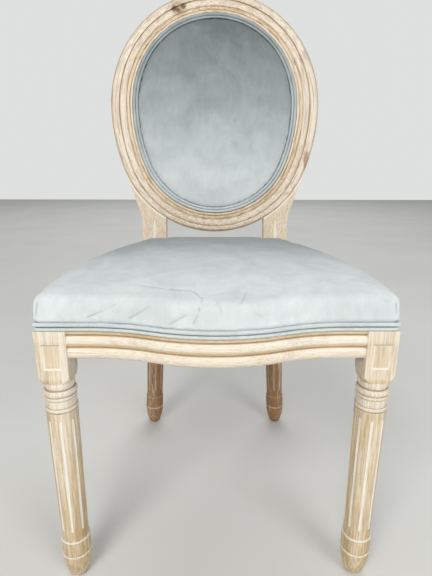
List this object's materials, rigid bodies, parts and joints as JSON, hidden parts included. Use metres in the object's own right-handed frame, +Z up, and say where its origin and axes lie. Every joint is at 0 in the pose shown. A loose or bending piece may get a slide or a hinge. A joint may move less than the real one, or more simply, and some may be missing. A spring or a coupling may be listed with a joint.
{
  "type": "upholstered side chair",
  "caption": "Armless side chair with an upholstered oval medallion back, crowned velvet seat, serpentine moulded front rail and turned, fluted legs.",
  "frame": {"origin": "centre of the bounding box in plan, on the floor under the glides", "axes": "+Z up, the seat's front faces -Y, +X to the right of someone who looks at the chair from the front"},
  "size_m": [0.495, 0.6075, 1.0073],
  "materials": {
    "limed_wood": "satin",
    "limed_wood_rear": "satin",
    "plain_beech": "matte",
    "velvet": "satin",
    "welt_velvet": "satin",
    "foam": "matte",
    "jute": "matte",
    "black_cambric": "matte",
    "screw_steel": "satin",
    "glide_plastic": "matte"
  },
  "bodies": {
    "root": {"front_leg_left": "limed_wood", "front_leg_right": "limed_wood", "rear_leg_left": "limed_wood_rear", "rear_leg_right": "limed_wood_rear", "front_rail": "limed_wood", "side_rail_left": "limed_wood", "side_rail_right": "limed_wood", "rear_rail": "limed_wood_rear", "crest_arc": "limed_wood", "oval_side_left": "limed_wood", "oval_side_right": "limed_wood", "lower_arc": "limed_wood", "oval_dowels": "plain_beech", "stile_dowels": "plain_beech", "corner_block_front_left": "plain_beech", "corner_block_front_right": "plain_beech", "corner_block_rear_left": "plain_beech", "corner_block_rear_right": "plain_beech", "corner_screws": "screw_steel", "glide_front_left": "glide_plastic", "glide_front_right": "glide_plastic", "glide_rear_left": "glide_plastic", "glide_rear_right": "glide_plastic", "seat_webbing": "jute", "seat_foam": "foam", "seat_cover": "velvet", "seat_welt": "welt_velvet", "dust_cover": "black_cambric", "back_board": "plain_beech", "back_foam": "foam", "back_cover": "velvet", "back_welt": "welt_velvet", "outside_back_cover": "velvet", "outside_back_welt": "welt_velvet"}
  },
  "joints": []
}
